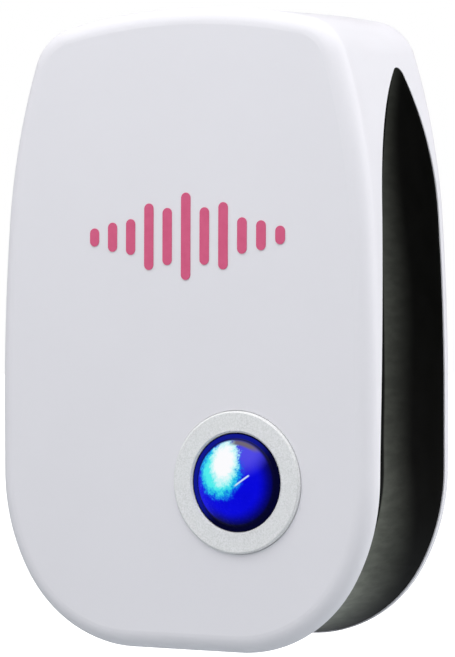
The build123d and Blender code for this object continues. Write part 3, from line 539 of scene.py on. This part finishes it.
MAKERS = {
    "board_green": board_green,
    "ferrite": wound_ferrite,
    "capacitor_sleeve": capacitor_sleeve,
    "led_clear": led_clear,
    "resistor_tan": lambda: banded(
        "resistor_tan",
        "resistors",
        (0.62, 0.45, 0.24),
        3.0,
        [(-1.9, 0.3, BROWN), (-0.8, 0.3, BLACK), (0.3, 0.3, RED), (1.9, 0.3, GOLD)],
    ),
    "resistor_grey": lambda: banded(
        "resistor_grey",
        "fusible_resistor",
        (0.30, 0.33, 0.34),
        4.0,
        [(-2.6, 0.4, BROWN), (-1.2, 0.4, BLACK), (2.6, 0.4, BLACK)],
        axis="X",
    ),
    "diode_black": lambda: banded(
        "diode_black", "rectifier_diodes", (0.015, 0.015, 0.016), 2.5, [(1.7, 0.35, PALE)]
    ),
    "diode_glass": lambda: banded(
        "diode_glass", "zener_diode", (0.45, 0.13, 0.04), 2.0, [(1.3, 0.3, BLACK)], roughness=0.12
    ),
    "cover_white": cover_white,
    "frame_black": frame_black,
    "ring_silver": ring_silver,
    "lens_blue": lens_blue,
    "print_pink": ink_pink,
    "plug_white": lambda: moulded_plastic("plug_white", (0.74, 0.74, 0.76), 0.42, mottle=0.015),
    "pin_nickel": lambda: metal("pin_nickel", (0.78, 0.76, 0.70), 0.22, stretch=(1, 0.08, 1)),
    "brass": lambda: metal("brass", (0.80, 0.58, 0.24), 0.32),
    "screw_steel": lambda: metal("screw_steel", (0.60, 0.60, 0.60), 0.30),
    "spring_steel": lambda: metal("spring_steel", (0.55, 0.55, 0.56), 0.25),
}


def slot_material(slot):
    """Material for one of the record's slots, from its own maker or from its stated colour."""
    if slot["slot"] in MAKERS:
        return MAKERS[slot["slot"]]()
    roughness = 0.25 if slot["class"] == "gloss_plastic" else 0.5
    return moulded_plastic(slot["slot"], slot["base_color"][:3], roughness, mottle=0.06)


slots = {slot["slot"]: slot_material(slot) for slot in frame["record"]["materials"]}
for part in frame["record"]["subparts"]:
    carried = frame["nodes"][part["node"]]
    carried.data.materials.clear()
    carried.data.materials.append(slots[part["material_slot"]])

# ---------------------------------------------------------------- return spring


def coil_spring(name, low, high, wire_radius, turns, closed_turns):
    """Coil along Y that fills a box: its first and last turns lie flat, its middle is open."""
    centre = (low + high) / 2
    radius = (high.x - low.x) / 2 - wire_radius
    front, back = low.y + wire_radius, high.y - wire_radius
    steps_per_turn, sides = 48, 12
    closed_rise = closed_turns * 2 * wire_radius
    open_rise = (back - front - 2 * closed_rise) / (turns - 2 * closed_turns)
    form = bmesh.new()
    rings = []
    for step in range(int(turns * steps_per_turn) + 1):
        turn = step / steps_per_turn
        angle = 2 * math.pi * turn
        first = min(turn, closed_turns) * 2 * wire_radius
        open_part = min(max(turn - closed_turns, 0), turns - 2 * closed_turns) * open_rise
        last = max(turn - (turns - closed_turns), 0) * 2 * wire_radius
        outward = Vector((math.cos(angle), 0, math.sin(angle)))
        place = Vector((centre.x, front + first + open_part + last, centre.z)) + outward * radius
        ring = []
        for side in range(sides):
            around = 2 * math.pi * side / sides
            offset = outward * math.cos(around) + Vector((0, 1, 0)) * math.sin(around)
            ring.append(form.verts.new(place + offset * wire_radius))
        rings.append(ring)
    for near, far in zip(rings, rings[1:]):
        for side in range(sides):
            following = (side + 1) % sides
            form.faces.new((near[side], near[following], far[following], far[side]))
    form.faces.new(rings[0][::-1])
    form.faces.new(rings[-1])
    bmesh.ops.recalc_face_normals(form, faces=form.faces)
    for face in form.faces:
        face.smooth = len(face.verts) == 4
    mesh = bpy.data.meshes.new(name)
    form.to_mesh(mesh)
    form.free()
    made = bpy.data.objects.new(name, mesh)
    bpy.context.scene.collection.objects.link(made)
    return made


SPRING_WIRE_RADIUS = 0.3 * MM
SPRING_TURNS = 4.5
CLOSED_TURNS = 0.75  # flat turns at each end
spring_low, spring_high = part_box("return_spring")
spring = coil_spring(
    "return_spring_coil", spring_low, spring_high, SPRING_WIRE_RADIUS, SPRING_TURNS, CLOSED_TURNS
)
spring.data.materials.append(slots["spring_steel"])
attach(spring, "casing")
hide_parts("return_spring")
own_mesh(spring)

# ---------------------------------------------------------------- stage

FLOOR_DROP = 70 * MM  # the part plugs into a wall, so it hangs clear of the floor
FLOOR_RADIUS = 6.0


def make_floor():
    """Pale round floor: it glows white to the camera, and bounced light sees it as plain grey."""
    mesh = bpy.data.meshes.new("floor")
    form = bmesh.new()
    bmesh.ops.create_circle(form, cap_ends=True, segments=96, radius=FLOOR_RADIUS)
    form.to_mesh(mesh)
    form.free()
    floor = bpy.data.objects.new("floor", mesh)
    bpy.context.scene.collection.objects.link(floor)
    floor.location.z = casing_low.z - FLOOR_DROP
    made, g = material("floor_pale")
    shade = g.noise(0.4, detail=2)
    pale = g.mix(shade, (0.90, 0.90, 0.90, 1), (0.93, 0.93, 0.93, 1))
    # bounced light sees the floor darker behind the object, as the wall side of a studio is
    depth = g.add("ShaderNodeSeparateXYZ", Vector=g.place()).outputs["Y"]
    bounced = g.mix(g.fade(depth, 0.05, 0.40), (0.45, 0.48, 0.50, 1), (0.08, 0.08, 0.08, 1))
    seen = g.add("ShaderNodeLightPath").outputs["Is Camera Ray"]
    shader = g.add(
        "ShaderNodeBsdfPrincipled",
        Base_Color=g.mix(seen, bounced, pale),
        Roughness=0.9,
        Emission_Color=(1, 1, 1, 1),
        Emission_Strength=g.fade(seen, 0, 1, 0.0, 0.9),
    )
    g.finish(shader)
    mesh.materials.append(made)


def direction(azimuth, elevation):
    """Unit vector from the object towards a place round it. Azimuth 0 is the front, 90 the right."""
    a, e = math.radians(azimuth), math.radians(elevation)
    return Vector((math.sin(a) * math.cos(e), -math.cos(a) * math.cos(e), math.sin(e)))


def soft_light(name, azimuth, elevation, distance, size, watts):
    """Rectangular softbox that points at the middle of the body."""
    light = bpy.data.lights.new(name, "AREA")
    light.shape = "RECTANGLE"
    light.size, light.size_y = size
    light.energy = watts
    softbox = bpy.data.objects.new(name, light)
    bpy.context.scene.collection.objects.link(softbox)
    way = direction(azimuth, elevation)
    softbox.location = BODY_CENTRE + way * distance
    softbox.rotation_mode = "QUATERNION"
    softbox.rotation_quaternion = way.to_track_quat("Z", "Y")


def make_world():
    """White to the camera; as a light, even all round, brighter above and dark straight behind."""
    world = bpy.data.worlds.new("studio")
    bpy.context.scene.world = world
    g = Graph(world)
    way = g.add("ShaderNodeTexCoord").outputs["Generated"]
    split = g.add("ShaderNodeSeparateXYZ", Vector=way)
    front = g.product(split.outputs["Y"], -1.0)
    around = g.fade(front, -0.80, -0.50, 0.0, 0.60)
    above = g.fade(split.outputs["Z"], 0.1, 0.9, 0.0, 0.25)
    level = g.math("ADD", around, above)
    seen = g.add("ShaderNodeLightPath").outputs["Is Camera Ray"]
    colour = g.mix(seen, level, (1.0, 1.0, 1.0, 1.0))
    shader = g.add("ShaderNodeBackground", Color=colour, Strength=1.0)
    g.add("ShaderNodeOutputWorld", Surface=shader.outputs[0])


def make_camera():
    """Level camera to the right of the front, aimed at the middle of the body."""
    view_azimuth, view_elevation, distance = 28.6, 0.3, 0.594
    data = bpy.data.cameras.new("camera")
    data.lens = 170.1
    data.sensor_width = 36.0
    camera = bpy.data.objects.new("camera", data)
    bpy.context.scene.collection.objects.link(camera)
    way = direction(view_azimuth, view_elevation)
    aim = Vector((-0.27 * MM, -32.35 * MM, -8.0 * MM))
    camera.location = aim + way * distance
    camera.rotation_mode = "QUATERNION"
    camera.rotation_quaternion = way.to_track_quat("Z", "Y")
    data.clip_start, data.clip_end = 0.01, 50.0
    bpy.context.scene.camera = camera


make_floor()
make_world()
soft_light("key", azimuth=120, elevation=15, distance=0.70, size=(0.50, 0.70), watts=2.1)
soft_light("front", azimuth=0, elevation=55, distance=0.44, size=(0.60, 0.32), watts=1.2)
soft_light("top", azimuth=30, elevation=75, distance=0.70, size=(0.60, 0.60), watts=0.50)
soft_light("edge", azimuth=125, elevation=-28, distance=0.35, size=(0.17, 0.30), watts=0.50)
make_camera()
bpy.context.scene.view_settings.view_transform = "Standard"
